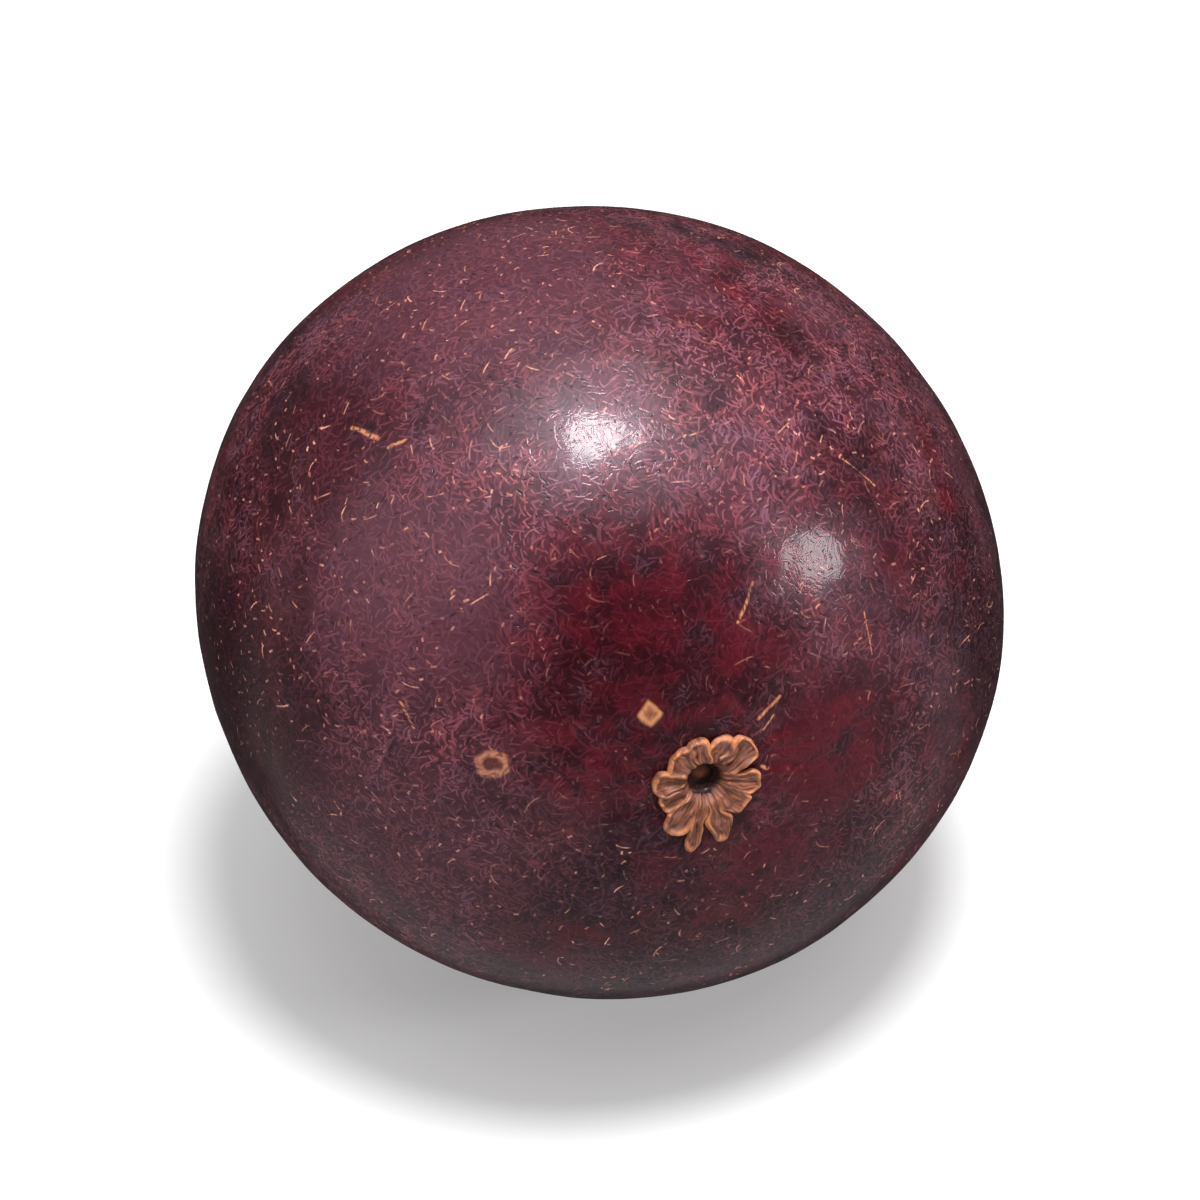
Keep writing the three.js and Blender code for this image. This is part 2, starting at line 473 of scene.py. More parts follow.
# Fineness of the berry's mesh: its columns, and towards each pole the fine step, how far it reaches
# and the coarse step that it widens to, in mm.
BERRY_COLUMNS = 352
STEM_STEPS = (0.06, 3.4, 0.2)
APEX_STEPS = (0.05, 2.8, 0.2)

# How far the fibres' cells stray, so that they have no straight edges, in mm.
FIBRE_WANDER = 0.035


def make_berry():
    stem = half_turns(*STEM_STEPS)
    apex = half_turns(*APEX_STEPS)
    turns = np.concatenate([stem[1:], math.pi - apex[-2:0:-1]])
    angles = np.linspace(-math.pi, math.pi, BERRY_COLUMNS, endpoint=False)
    turn_grid, angle_grid = np.meshgrid(turns, angles, indexing="ij")
    smooth = berry_points(turn_grid, angle_grid).reshape(-1, 3)
    poles = np.array([[0, 0, profile(np.array(0.0))[1]], [0, 0, profile(np.array(math.pi))[1]]])
    smooth = np.concatenate([smooth, poles])
    radius = np.linalg.norm(smooth[:, :2], axis=1)
    angle = np.arctan2(smooth[:, 1], smooth[:, 0])
    outward = smooth / np.linalg.norm(smooth, axis=1, keepdims=True)
    skin = smooth + outward * relief(smooth, radius, angle)[:, None]
    placed = rest_on_floor(place(skin))
    mesh = grid_mesh("berry", placed[:-2], len(turns), BERRY_COLUMNS, placed[-2:])
    add_vectors(mesh, "berry_place", smooth)
    wander = [swells(smooth, 0.9, seed) for seed in (37, 38, 39)]
    add_vectors(mesh, "fibre_place", smooth + FIBRE_WANDER * np.stack(wander, axis=-1))
    add_zones(mesh, smooth, radius, angle)
    add_marks(mesh, smooth)
    return add_object(mesh)


# ---------------------------------------------------------------- the crown of dried styles

LOBE_RINGS = 48
LOBE_SECTION = 56
LOBE_START = PIT_RADIUS - 0.1
SHOULDERS_AT = 0.62  # how far along a lobe its tip begins to round off
TIP_ROUNDNESS = 2.6
LOBE_SPREAD = 1.28  # the lobes press against each other, which their CAD solids don't
LOBE_FOOT = 0.5  # a lobe's width at the pit, as a share of its full width
LOBE_HALF_THICKNESS = 0.125
CREASES = 2  # deep ones along a lobe
WRINKLE_PITCHES = (5, 8, 12, 17)  # fine ones, in radians from a lobe's middle to its side
WRINKLE_HEIGHT = 0.012
VOXEL = 0.02  # of the mesh that the lobes grow together in
FIRST_STYLE_SEED = 40
SEEDS_A_STYLE = 10


def lobe_width(along, width):
    """Half the width of a lobe whose tip isn't rounded yet, along it from 0 to 1."""
    swollen = LOBE_FOOT + (1 - LOBE_FOOT) * smoothstep(along, -0.15, 0.7)
    return LOBE_SPREAD * width / 2 * swollen


def edge_share(along, across):
    """0 along the middle of a lobe and 1 on its outline; across is a share of its half width."""
    past = np.clip((along - SHOULDERS_AT) / (1 - SHOULDERS_AT), 0, None)
    return (np.abs(across) ** TIP_ROUNDNESS + past**TIP_ROUNDNESS) ** (1 / TIP_ROUNDNESS)


def lobe_rise(along):
    """Height of a lobe's middle over the skin: it climbs out of the pit and leans back down."""
    climb = -0.3 + 0.5 * smoothstep(along, -0.05, 0.3)
    return climb - 0.1 * smoothstep(along, 0.55, 1.05)


def lobe_top(along, across, seed):
    """Relief on a lobe's upper side: a rolled rim, a hollow, creases and wrinkles along it."""
    edge = edge_share(along, across)
    rng = np.random.default_rng(seed)
    rim = rng.uniform(0.05, 0.09) * hump(edge, 0.84, 0.15)
    hollow = -rng.uniform(0.03, 0.07) * (1 - np.clip(edge, 0, 1) ** 2)
    creases = np.zeros_like(along)
    for _ in range(CREASES):
        bend = rng.uniform(-0.5, 0.5) + rng.uniform(-0.35, 0.35) * along
        depth = rng.uniform(0.03, 0.08) * smoothstep(along, rng.uniform(0.8, 1.1), 0.6)
        creases -= depth * hump(across, bend, rng.uniform(0.09, 0.16))
    wrinkles = np.zeros_like(along)
    for pitch in WRINKLE_PITCHES:
        bend = rng.uniform(-3, 3) * along + rng.uniform(0, 6)
        wrinkles += rng.uniform(0.6, 1.1) * np.cos(pitch * across + bend)
    puckers = np.cos(rng.uniform(14, 22) * along + 3.5 * across + rng.uniform(0, 6))
    puckers *= smoothstep(along, 0.3, 0.6)
    return rim + hollow + creases + WRINKLE_HEIGHT * (wrinkles + puckers)


def lobe_local(points, lobe):
    """Along and across a lobe, as shares of its length and half width, of points in the crown."""
    angle, reach, width = lobe
    heading = math.radians(angle)
    out = points[:, 0] * math.cos(heading) + points[:, 1] * math.sin(heading)
    side = points[:, 1] * math.cos(heading) - points[:, 0] * math.sin(heading)
    along = (out - LOBE_START) / (reach - LOBE_START)
    return along, side / lobe_width(along, width)


def make_lobe(lobe, seed):
    """One lobe as a closed tube of sections, in mm in the berry's frame."""
    angle, reach, width = lobe
    rng = np.random.default_rng(seed)
    heading = math.radians(angle)
    along = 0.5 - 0.5 * np.cos(np.linspace(0.02, 1, LOBE_RINGS) * math.pi * 0.985)
    section = np.linspace(0, 2 * math.pi, LOBE_SECTION, endpoint=False)
    along, section = np.meshgrid(along, section, indexing="ij")
    past = np.clip((along - SHOULDERS_AT) / (1 - SHOULDERS_AT), 0, 1)
    tip = (1 - past**TIP_ROUNDNESS) ** (1 / TIP_ROUNDNESS)
    wave = 1 + 0.07 * np.cos(rng.uniform(8, 12) * along + rng.uniform(0, 6))
    half = lobe_width(along, width) * wave * tip
    across = np.sign(np.cos(section)) * np.abs(np.cos(section)) ** 0.75
    side = half * across + 0.09 * rng.uniform(-1, 1) * along**2
    out = LOBE_START + along * (reach - LOBE_START)
    half_thickness = LOBE_HALF_THICKNESS * (0.45 + 0.55 * tip)
    lift = np.sign(np.sin(section)) * np.abs(np.sin(section)) ** 0.7
    x = out * math.cos(heading) - side * math.sin(heading)
    y = out * math.sin(heading) + side * math.cos(heading)
    upper = np.clip(np.sin(section), 0, 1) ** 0.3
    z = apex_height(np.hypot(x, y)) + lobe_rise(along) + half_thickness * lift
    z += upper * lobe_top(along, across * tip, seed)
    points = np.stack([x, y, z], axis=-1)
    caps = np.array([points[0].mean(axis=0), points[-1].mean(axis=0)])
    return grid_mesh("lobe", points.reshape(-1, 3), LOBE_RINGS, LOBE_SECTION, caps)


def grown_together(meshes):
    """One closed skin round several overlapping closed meshes."""
    joined = bmesh.new()
    for mesh in meshes:
        joined.from_mesh(mesh)
        bpy.data.meshes.remove(mesh)
    bmesh.ops.recalc_face_normals(joined, faces=joined.faces)
    mesh = bpy.data.meshes.new("joined")
    joined.to_mesh(mesh)
    joined.free()
    thing = add_object(mesh)
    remesh = thing.modifiers.new("grown", "REMESH")
    remesh.mode = "VOXEL"
    remesh.voxel_size = VOXEL
    smooth = thing.modifiers.new("smooth", "SMOOTH")
    smooth.factor = 0.5
    smooth.iterations = 2
    graph = bpy.context.evaluated_depsgraph_get()
    result = bpy.data.meshes.new_from_object(thing.evaluated_get(graph))
    bpy.data.objects.remove(thing)
    bpy.data.meshes.remove(mesh)
    return result


def crumpled(points):
    """The crown's points, shrunk unevenly as it dried: outlines wander and faces buckle."""
    far = smoothstep(np.hypot(points[:, 0], points[:, 1]), 0.3, 0.9)
    sideways = np.stack([swells(points, 0.55, seed=31), swells(points, 0.55, seed=32)], axis=-1)
    moved = points.copy()
    moved[:, :2] += 0.035 * far[:, None] * sideways
    buckles = 0.022 * swells(points, 0.6, seed=33) + 0.012 * swells(points, 0.22, seed=34)
    moved[:, 2] += far * buckles
    return moved


def make_style(name, lobes, seed):
    """A dried style: its lobes grown together, with the measures that its material goes by."""
    mesh = grown_together([make_lobe(lobe, seed + index) for index, lobe in enumerate(lobes)])
    mesh.name = "dried_" + name
    points = np.empty(len(mesh.vertices) * 3)
    mesh.vertices.foreach_get("co", points)
    points = points.reshape(-1, 3)
    places = np.array([lobe_local(points, lobe) for lobe in lobes])
    edges = edge_share(places[:, 0], places[:, 1])
    nearest = edges.argmin(axis=0)
    along, across = places[nearest, :, np.arange(len(points))].T
    over_skin = points[:, 2] - apex_height(np.hypot(points[:, 0], points[:, 1]))
    add_values(mesh, "edge", edges.min(axis=0))
    add_values(mesh, "over_skin", over_skin)
    add_vectors(mesh, "lobe_place", np.stack([along, across, nearest + seed * 3.7], axis=-1))
    add_vectors(mesh, "berry_place", points)
    mesh.vertices.foreach_set("co", place(crumpled(points)).ravel())
    mesh.update()
    mesh.shade_smooth()
    return add_object(mesh)


# ---------------------------------------------------------------- materials

class Nodes:
    """Adds nodes to a tree. Each method adds one and gives the socket that holds its result."""

    def __init__(self, tree):
        self.tree = tree

    def add(self, kind, **settings):
        node = self.tree.nodes.new(kind)
        for name, value in settings.items():
            setattr(node, name, value)
        return node

    def feed(self, socket, value):
        if isinstance(value, bpy.types.NodeSocket):
            self.tree.links.new(value, socket)
        else:
            socket.default_value = value

    def attribute(self, name, output="Vector"):
        return self.add("ShaderNodeAttribute", attribute_name=name).outputs[output]

    def math(self, operation, first, second=0.0, third=0.0, clamp=False):
        node = self.add("ShaderNodeMath", operation=operation, use_clamp=clamp)
        for socket, value in zip(node.inputs, (first, second, third)):
            self.feed(socket, value)
        return node.outputs["Value"]

    def product(self, *values):
        return functools.reduce(functools.partial(self.math, "MULTIPLY"), values)

    def total(self, *values):
        return functools.reduce(functools.partial(self.math, "ADD"), values)

    def most(self, *values):
        return functools.reduce(functools.partial(self.math, "MAXIMUM"), values)

    def vector(self, operation, first, second=None, scale=None, output="Vector"):
        node = self.add("ShaderNodeVectorMath", operation=operation)
        self.feed(node.inputs[0], first)
        if second is not None:
            self.feed(node.inputs[1], second)
        if scale is not None:
            self.feed(node.inputs["Scale"], scale)
        return node.outputs[output]

    def split(self, vector):
        node = self.add("ShaderNodeSeparateXYZ")
        self.feed(node.inputs[0], vector)
        return node.outputs["X"], node.outputs["Y"], node.outputs["Z"]

    def join(self, x, y, z):
        node = self.add("ShaderNodeCombineXYZ")
        for socket, value in zip(node.inputs, (x, y, z)):
            self.feed(socket, value)
        return node.outputs[0]

    def smooth(self, value, low, high, to_low=0.0, to_high=1.0):
        """A smooth step from to_low, where value is low, to to_high, where it is high."""
        node = self.add("ShaderNodeMapRange", interpolation_type="SMOOTHSTEP")
        names = ("Value", "From Min", "From Max", "To Min", "To Max")
        for name, number in zip(names, (value, low, high, to_low, to_high)):
            self.feed(node.inputs[name], number)
        return node.outputs["Result"]

    def noise(self, where, size, detail=2.0, rough=0.5):
        """Noise with features about a size in mm across."""
        node = self.add("ShaderNodeTexNoise", noise_dimensions="3D")
        self.feed(node.inputs["Vector"], where)
        self.feed(node.inputs["Scale"], 1 / size)
        self.feed(node.inputs["Detail"], detail)
        self.feed(node.inputs["Roughness"], rough)
        return node.outputs["Fac"]

    def cells(self, where, size):
        """The colour and the middle of the nearest random cell."""
        node = self.add("ShaderNodeTexVoronoi", voronoi_dimensions="3D", feature="F1")
        self.feed(node.inputs["Vector"], where)
        self.feed(node.inputs["Scale"], 1 / size)
        return node.outputs["Color"], node.outputs["Position"]

    def blend(self, share, first, second):
        node = self.add("ShaderNodeMix", data_type="RGBA")
        self.feed(node.inputs["Factor"], share)
        for socket, colour in zip([s for s in node.inputs if s.type == "RGBA"], (first, second)):
            self.feed(socket, (*colour, 1) if isinstance(colour, tuple) else colour)
        return next(s for s in node.outputs if s.type == "RGBA")


def grey(value):
    return (value, value, value)


def new_material(name):
    material = bpy.data.materials.new(name)
    material.use_nodes = True
    tree = material.node_tree
    shader = tree.nodes["Principled BSDF"]
    return material, Nodes(tree), shader


def add_bump(nodes, shader, height, distance):
    bump = nodes.add("ShaderNodeBump")
    bump.inputs["Strength"].default_value = 1.0
    bump.inputs["Distance"].default_value = distance
    nodes.feed(bump.inputs["Height"], height)
    nodes.feed(shader.inputs["Normal"], bump.outputs["Normal"])
    nodes.feed(shader.inputs["Coat Normal"], bump.outputs["Normal"])


SEED_SHIFT = (17.3, 5.1, 11.7)  # how far apart the cells of two seeds are, in mm
BUNDLE_SHIFT = 40.0  # how far apart two bundles are in the noise that they are cut from
STROKE_BOW = 0.3  # how far a stroke bends, over its cell's size
FIBRE_CURVE = 1.0  # the most that a fibre bends, over its length
SHORTEST_FIBRE = 0.35  # as a share of the longest


def cell_frame(nodes, where, outward, seed, cell):
    """Random cells that each head their own way along the skin. Gives a cell's random colour, and how
    far along and across its heading a place is from its middle."""
    shifted = nodes.vector("ADD", where, tuple(seed * part for part in SEED_SHIFT))
    colour, middle = nodes.cells(shifted, cell)
    lean = nodes.vector("SUBTRACT", colour, (0.5, 0.5, 0.5))
    heading = nodes.vector("NORMALIZE", nodes.vector("CROSS_PRODUCT", outward, lean))
    sideways = nodes.vector("CROSS_PRODUCT", outward, heading)
    offset = nodes.vector("SUBTRACT", shifted, middle)
    along = nodes.vector("DOT_PRODUCT", offset, heading, output="Value")
    across = nodes.vector("DOT_PRODUCT", offset, sideways, output="Value")
    return colour, along, across


def strokes(nodes, where, outward, seed, cell, length, width):
    """Bundles of short strokes that lie in the skin, each bundle in a random cell heading its way.
    Gives the strokes, 0 to 1, and the cell's own random colour."""
    colour, along, across = cell_frame(nodes, where, outward, seed, cell)
    bowed = nodes.math("MULTIPLY_ADD", nodes.product(along, along), STROKE_BOW / cell, across)
    grain = nodes.join(nodes.math("DIVIDE", along, length), nodes.math("DIVIDE", bowed, width), 0.0)
    grain = nodes.vector("ADD", grain, nodes.vector("SCALE", colour, scale=BUNDLE_SHIFT))
    return nodes.noise(grain, 1.0, detail=1.0, rough=0.4), colour


def dots(nodes, where, outward, seed, cell, length, width, share):
    """One short fibre or dot to a random cell, each heading its own way; a share of cells have one."""
    colour, along, across = cell_frame(nodes, where, outward, seed, cell)
    red, green, blue = nodes.split(colour)
    curve = nodes.math("MULTIPLY_ADD", red, FIBRE_CURVE / length, -0.5 * FIBRE_CURVE / length)
    across = nodes.math("MULTIPLY_ADD", nodes.product(along, along), curve, across)
    shortest = SHORTEST_FIBRE * length
    reach = nodes.math("MULTIPLY_ADD", green, length - shortest, shortest)
    ends = nodes.smooth(nodes.math("DIVIDE", nodes.math("ABSOLUTE", along), reach), 1.0, 0.6)
    body = nodes.smooth(nodes.math("ABSOLUTE", across), width, width * 0.25)
    return nodes.product(ends, body, nodes.math("LESS_THAN", blue, share))


# The layers of fibres and specks: the size of their cells, their length and their width, in mm, and
# the share of cells that have one.
BUNDLES = {"seed": 1, "cell": 0.5, "length": 0.26, "width": 0.09}
SHORT_FIBRES = {"seed": 3, "cell": 0.27, "length": 0.22, "width": 0.037, "share": 0.8}
LONG_FIBRES = {"seed": 4, "cell": 0.45, "length": 0.42, "width": 0.040, "share": 0.85}
SPECKS = {"seed": 7, "cell": 0.50, "length": 0.11, "width": 0.045, "share": 0.6}
THREADS = {"seed": 8, "cell": 0.85, "length": 0.38, "width": 0.032, "share": 0.5}
FIBRE_HEIGHT = 0.0035
SCRATCH_WAVER = 5.0  # how far a scratch strays for each mm that the fibres' cells do, in its widths

# Colours of the skin.
BARE_AND_SHADED_PLUM = (0.014, 0.002, 0.005)
PLUM = (0.058, 0.010, 0.018)
DEEP_CRIMSON = (0.022, 0.0006, 0.0026)
BRIGHT_CRIMSON = (0.074, 0.0013, 0.0066)
OLD_BROWN = (0.060, 0.014, 0.012)
MAUVE_BLOOM_AND_SHEEN = (0.098, 0.027, 0.042)
DENT_SHADE = (0.008, 0.001, 0.002)
MAUVE_FIBRE_AND_GLINT = (0.25, 0.098, 0.150)
RUSSET_FIBRE = (0.40, 0.090, 0.104)
CRIMSON_FIBRE = (0.19, 0.013, 0.028)
RUSSET_SPECK = (0.50, 0.16, 0.12)
PALE_SPECK = (0.75, 0.34, 0.24)
SCRATCH_TAN = (0.55, 0.21, 0.10)
CORK_DARK = (0.055, 0.020, 0.012)
CORK_TAN = (0.42, 0.19, 0.085)
CHIP_MIDDLE = (0.20, 0.055, 0.022)
CHIP_EDGE = (0.58, 0.25, 0.10)
RING_MIDDLE = (0.10, 0.022, 0.014)
RING_EDGE = (0.50, 0.19, 0.10)
PIT_FLOOR = (0.24, 0.07, 0.03)
PIT_WALL = (0.03, 0.008, 0.005)


def skin_material():
    material, nodes, shader = new_material("plum_skin")
    where = nodes.attribute("berry_place")
    outward = nodes.vector("NORMALIZE", where)
    off_axis = nodes.vector("LENGTH", nodes.vector("MULTIPLY", where, (1.0, 1.0, 0.0)), output="Value")
    names = ("crimson", "brown", "haze", "fibres_and_painted_light", "ruddy", "flecked", "cork", "proud")
    zones = [nodes.attribute(name, "Fac") for name in names]
    crimson, brown, haze, fibres_and_painted_light, ruddy, flecked, cork, proud = zones

    # The fibres: bundles of strokes, with dents between them, and single ones over them.
    wandering = nodes.attribute("fibre_place")
    coarse, coarse_random = strokes(nodes, wandering, outward, **BUNDLES)
    tint, depth, _ = nodes.split(coarse_random)
    short = dots(nodes, wandering, outward, **SHORT_FIBRES)
    long = dots(nodes, wandering, outward, **LONG_FIBRES)
    dents = nodes.smooth(coarse, 0.36, 0.24)
    mat = nodes.product(nodes.smooth(coarse, 0.40, 0.72), nodes.smooth(depth, -0.3, 0.9))
    fibre = nodes.most(short, nodes.product(long, 0.9), nodes.product(mat, 0.75))
    fibre = nodes.product(fibre, nodes.math("MULTIPLY_ADD", fibres_and_painted_light, 0.8, 0.2))

    # Ground colours: plum, with crimson where the skin is thin and brown where it is old.
    # Darker plum where the fibres are few: in places this is painted shade.
    ground = nodes.blend(fibres_and_painted_light, BARE_AND_SHADED_PLUM, PLUM)
    glowing = nodes.blend(ruddy, DEEP_CRIMSON, BRIGHT_CRIMSON)
    ground = nodes.blend(crimson, ground, glowing)
    ground = nodes.blend(nodes.product(brown, 0.5), ground, OLD_BROWN)
    # Mauve haze: the waxy bloom, and painted sheen in its patches.
    ground = nodes.blend(nodes.product(haze, 0.7), ground, MAUVE_BLOOM_AND_SHEEN)
    # Dark in the dents between the bundles: painted shade.
    ground = nodes.blend(nodes.product(dents, 0.7), ground, DENT_SHADE)

    # The net of fibres over it, mauve in places and russet in others; the mauve is lavender in part as
    # painted glints.
    russet = nodes.math("MULTIPLY_ADD", ruddy, 0.5, nodes.product(tint, 0.5), clamp=True)
    fibre_colour = nodes.blend(russet, MAUVE_FIBRE_AND_GLINT, RUSSET_FIBRE)
    fibre_colour = nodes.blend(nodes.product(crimson, 0.85), fibre_colour, CRIMSON_FIBRE)
    colour = nodes.blend(nodes.product(fibre, 0.8), ground, fibre_colour)

    # Bright specks, the few long pale fibres and the scratches.
    specks = dots(nodes, wandering, outward, **SPECKS)
    threads = dots(nodes, wandering, outward, **THREADS)
    bright = nodes.most(nodes.product(specks, tint), nodes.product(threads, depth))
    bright = nodes.product(bright, flecked, nodes.smooth(coarse, 0.25, 0.6, 0.45, 1.1))
    colour = nodes.blend(bright, colour, nodes.blend(depth, RUSSET_SPECK, PALE_SPECK))
    strayed = nodes.vector("SUBTRACT", wandering, where)
    waver = nodes.vector("SCALE", strayed, scale=SCRATCH_WAVER)
    beside = [
        nodes.vector("LENGTH", nodes.vector("ADD", nodes.attribute(name), waver), output="Value")
        for name in ("scratch_even", "scratch_odd")
    ]
    torn = nodes.smooth(nodes.math("MINIMUM", *beside), 0.75, 0.2)
    torn = nodes.product(torn, nodes.smooth(coarse, 0.3, 0.6, 0.1, 1.0))
    colour = nodes.blend(torn, colour, SCRATCH_TAN)

    # The corky stem end, the chip and the ring in the skin, and the pit under the crown.
    crumbs = nodes.attribute("crumbs", "Fac")
    cork_tone = nodes.total(nodes.product(proud, 0.8), nodes.smooth(crumbs, 0.35, 0.7, -0.2, 0.25))
    cork_colour = nodes.blend(cork_tone, CORK_DARK, CORK_TAN)
    colour = nodes.blend(nodes.product(cork, 0.95), colour, cork_colour)
    from_chip = nodes.attribute("from_chip", "Fac")
    chip = nodes.smooth(from_chip, 0.58, 0.36)
    chip_edge = nodes.total(nodes.smooth(from_chip, 0.05, 0.45), nodes.math("SUBTRACT", coarse, 0.5))
    chip_colour = nodes.blend(chip_edge, CHIP_MIDDLE, CHIP_EDGE)
    colour = nodes.blend(nodes.product(chip, 0.95), colour, chip_colour)
    from_ring = nodes.attribute("from_ring", "Fac")
    ring_colour = nodes.blend(nodes.smooth(from_ring, 0.2, 0.36), RING_MIDDLE, RING_EDGE)
    ring = nodes.product(nodes.smooth(from_ring, 0.56, 0.42), nodes.smooth(coarse, 0.3, 0.6, 0.3, 0.95))
    colour = nodes.blend(ring, colour, ring_colour)
    _, _, height_on_axis = nodes.split(where)
    at_apex = nodes.smooth(height_on_axis, 0.0, 6.0)
    pit = nodes.product(nodes.smooth(off_axis, 0.75, 0.45), at_apex)
    pit_colour = nodes.blend(nodes.smooth(off_axis, 0.3, 0.12), PIT_WALL, PIT_FLOOR)
    colour = nodes.blend(pit, colour, pit_colour)

    nodes.feed(shader.inputs["Base Color"], colour)
    dull = nodes.product(nodes.most(cork, chip, ring, pit), 0.3)
    nodes.feed(shader.inputs["Roughness"], nodes.total(0.36, nodes.product(haze, 0.1), dull))
    shader.inputs["IOR"].default_value = 1.4
    shader.inputs["Specular Tint"].default_value = (1.0, 0.8, 0.95, 1.0)
    shader.inputs["Coat Weight"].default_value = 0.6
    shader.inputs["Coat Roughness"].default_value = 0.1
    shader.inputs["Coat IOR"].default_value = 1.3
    height = nodes.math("MULTIPLY_ADD", dents, -1.2, fibre)
    add_bump(nodes, shader, height, FIBRE_HEIGHT * MM)
    return material


# Colours of the dried styles, and how deep their wrinkles are.
STYLE_DARK = (0.06, 0.015, 0.009)
STYLE_TAN = (0.34, 0.110, 0.056)
STYLE_MOTTLE = (0.24, 0.092, 0.066)
STYLE_RIM = (0.60, 0.215, 0.085)
STYLE_FOOT_SHADE = (0.045, 0.012, 0.008)
STYLE_WRINKLE = 0.02


def style_material():
    material, nodes, shader = new_material("dried_style")
    where = nodes.attribute("berry_place")
    lobe = nodes.attribute("lobe_place")
    edge = nodes.attribute("edge", "Fac")
    over_skin = nodes.attribute("over_skin", "Fac")
    stretched = nodes.vector("MULTIPLY", lobe, (2.2, 5.5, 1.0))
    grain = nodes.noise(stretched, 1.0, detail=4.0, rough=0.65)
    mottle = nodes.noise(where, 0.3, detail=3.0)
    fine = nodes.noise(where, 0.07, detail=2.0)
    body = nodes.blend(nodes.smooth(grain, 0.3, 0.7), STYLE_DARK, STYLE_TAN)
    body = nodes.blend(nodes.smooth(mottle, 0.45, 0.7, 0.0, 0.6), body, STYLE_MOTTLE)
    rim = nodes.product(nodes.smooth(edge, 0.66, 0.86), nodes.smooth(over_skin, 0.06, 0.24))
    rim = nodes.product(rim, nodes.smooth(mottle, 0.35, 0.6, 0.15, 0.95))
    colour = nodes.blend(rim, body, STYLE_RIM)
    # Dark where a lobe sinks to the skin and into the pit: painted shade.
    low = nodes.smooth(over_skin, 0.12, -0.06)
    colour = nodes.blend(low, colour, STYLE_FOOT_SHADE)
    nodes.feed(shader.inputs["Base Color"], colour)
    nodes.feed(shader.inputs["Roughness"], nodes.smooth(grain, 0.3, 0.7, 0.62, 0.42))
    height = nodes.total(grain, nodes.product(fine, 0.4), nodes.product(mottle, 0.6))
    add_bump(nodes, shader, height, STYLE_WRINKLE * MM)
    return material


def floor_material():
    material, _, shader = new_material("studio_floor")
    shader.inputs["Base Color"].default_value = (*grey(FLOOR_BASE), 1)
    shader.inputs["Emission Color"].default_value = (1.0, 1.0, 1.0, 1)
    shader.inputs["Emission Strength"].default_value = FLOOR_GLOW
    shader.inputs["Roughness"].default_value = 0.6
    shader.inputs["Specular IOR Level"].default_value = 0.2
    return material


# ---------------------------------------------------------------- studio

def sky_vector(azimuth, elevation):
    """The direction to a place round the part: azimuth 0 is at -Y, in front of it."""
    return Vector((
        math.sin(azimuth) * math.cos(elevation),
        -math.cos(azimuth) * math.cos(elevation),
        math.sin(elevation),
    ))


def aim(thing, target):
    thing.rotation_euler = (target - thing.location).to_track_quat("-Z", "Y").to_euler()


def make_camera(target):
    camera = bpy.data.objects.new("camera", bpy.data.cameras.new("camera"))
    camera.data.lens = LENS
    camera.data.clip_start = 0.01
    camera.location = target + CAMERA_DISTANCE * sky_vector(CAMERA_AZIMUTH, CAMERA_ELEVATION)
    aim(camera, target)
    bpy.context.scene.collection.objects.link(camera)
    bpy.context.scene.camera = camera


def make_softbox(name, towards, distance, size, power, target):
    """A round softbox in a direction from the part, facing it."""
    light = bpy.data.lights.new(name, "AREA")
    light.shape = "DISK"
    light.size = size
    light.energy = power
    lamp = bpy.data.objects.new(name, light)
    lamp.location = target + distance * Vector(towards).normalized()
    aim(lamp, target)
    bpy.context.scene.collection.objects.link(lamp)


def facing(nodes, looking, azimuth, elevation):
    """The cosine of the angle between where a ray looks and a direction in the studio."""
    return nodes.vector("DOT_PRODUCT", looking, tuple(sky_vector(azimuth, elevation)), output="Value")


def within(nodes, cosine, edge):
    """1 within the second of an edge's two angles, in degrees, and 0 past the first."""
    return nodes.smooth(cosine, *(math.cos(math.radians(angle)) for angle in edge))


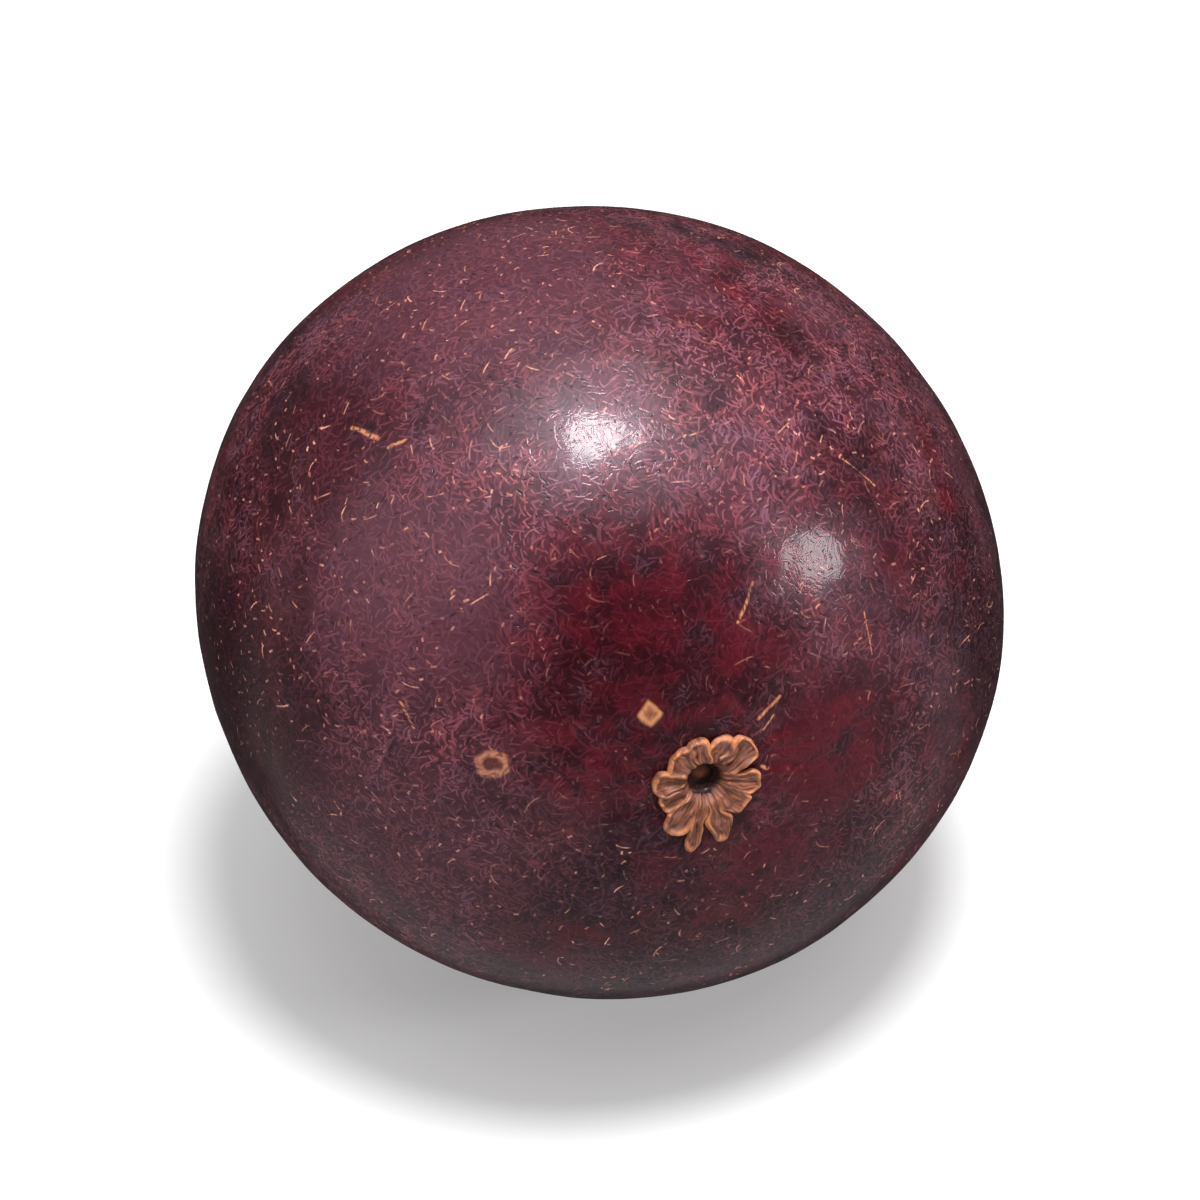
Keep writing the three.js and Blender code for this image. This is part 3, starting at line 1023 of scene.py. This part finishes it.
def make_world():
    """A studio that is dim at the horizon and pale overhead, dark where the camera stands, pale in
    front under the horizon, and with a pale panel to the left of the camera."""
    world = bpy.data.worlds.new("studio")
    bpy.context.scene.world = world
    world.use_nodes = True
    nodes = Nodes(world.node_tree)
    background = world.node_tree.nodes["Background"]
    looking = nodes.add("ShaderNodeTexCoord").outputs["Generated"]
    _, _, rise = nodes.split(looking)

    studio = nodes.blend(nodes.smooth(rise, 0.4, 0.9), grey(HORIZON), grey(OVERHEAD))
    dark = within(nodes, facing(nodes, looking, CAMERA_AZIMUTH, DARK_ELEVATION), DARK_EDGE)
    studio = nodes.blend(nodes.product(dark, nodes.smooth(rise, 0.1, 0.4)), studio, grey(DARK))
    to_front = facing(nodes, looking, CAMERA_AZIMUTH, 0)
    below = nodes.blend(nodes.smooth(to_front, -0.45, -0.15), grey(BELOW_BACK), grey(BELOW_FRONT))
    studio = nodes.blend(nodes.smooth(rise, 0.0, -0.25), studio, below)
    panel = within(nodes, facing(nodes, looking, PANEL_AZIMUTH, PANEL_ELEVATION), PANEL_EDGE)
    nodes.feed(background.inputs["Color"], nodes.blend(panel, studio, grey(PANEL)))
    background.inputs["Strength"].default_value = 1.0

    # Past the floor's edge the camera sees a pale backdrop, which lights nothing.
    backdrop = nodes.add("ShaderNodeBackground")
    backdrop.inputs["Color"].default_value = (*grey(BACKDROP), 1)
    seen = nodes.add("ShaderNodeLightPath").outputs["Is Camera Ray"]
    either = nodes.add("ShaderNodeMixShader")
    nodes.feed(either.inputs[0], seen)
    nodes.feed(either.inputs[1], background.outputs[0])
    nodes.feed(either.inputs[2], backdrop.outputs[0])
    nodes.feed(world.node_tree.nodes["World Output"].inputs["Surface"], either.outputs[0])


def make_floor():
    mesh = bpy.data.meshes.new("floor")
    half = FLOOR_HALF_SIZE
    corners = [(-half, -half, 0), (half, -half, 0), (half, half, 0), (-half, half, 0)]
    mesh.from_pydata(corners, [], [(0, 1, 2, 3)])
    floor = add_object(mesh)
    floor.location.z = -FLOOR_DROP * MM
    mesh.materials.append(floor_material())
    floor.visible_glossy = False


# ---------------------------------------------------------------- putting it together

def main():
    low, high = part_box("fruit")
    middle = (Vector(low) + Vector(high)) / 2
    make_camera(middle)
    make_world()
    make_floor()
    for name, softbox in SOFTBOXES.items():
        make_softbox(name, *softbox, middle)

    berry = make_berry()
    berry.data.materials.append(skin_material())
    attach(berry, "root")
    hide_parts("fruit")

    dried = style_material()
    for index, (name, lobes) in enumerate(STYLES.items()):
        style = make_style(name, lobes, seed=FIRST_STYLE_SEED + SEEDS_A_STYLE * index)
        style.data.materials.append(dried)
        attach(style, "root")
        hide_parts(name)

    bpy.context.scene.view_settings.view_transform = "Standard"


main()
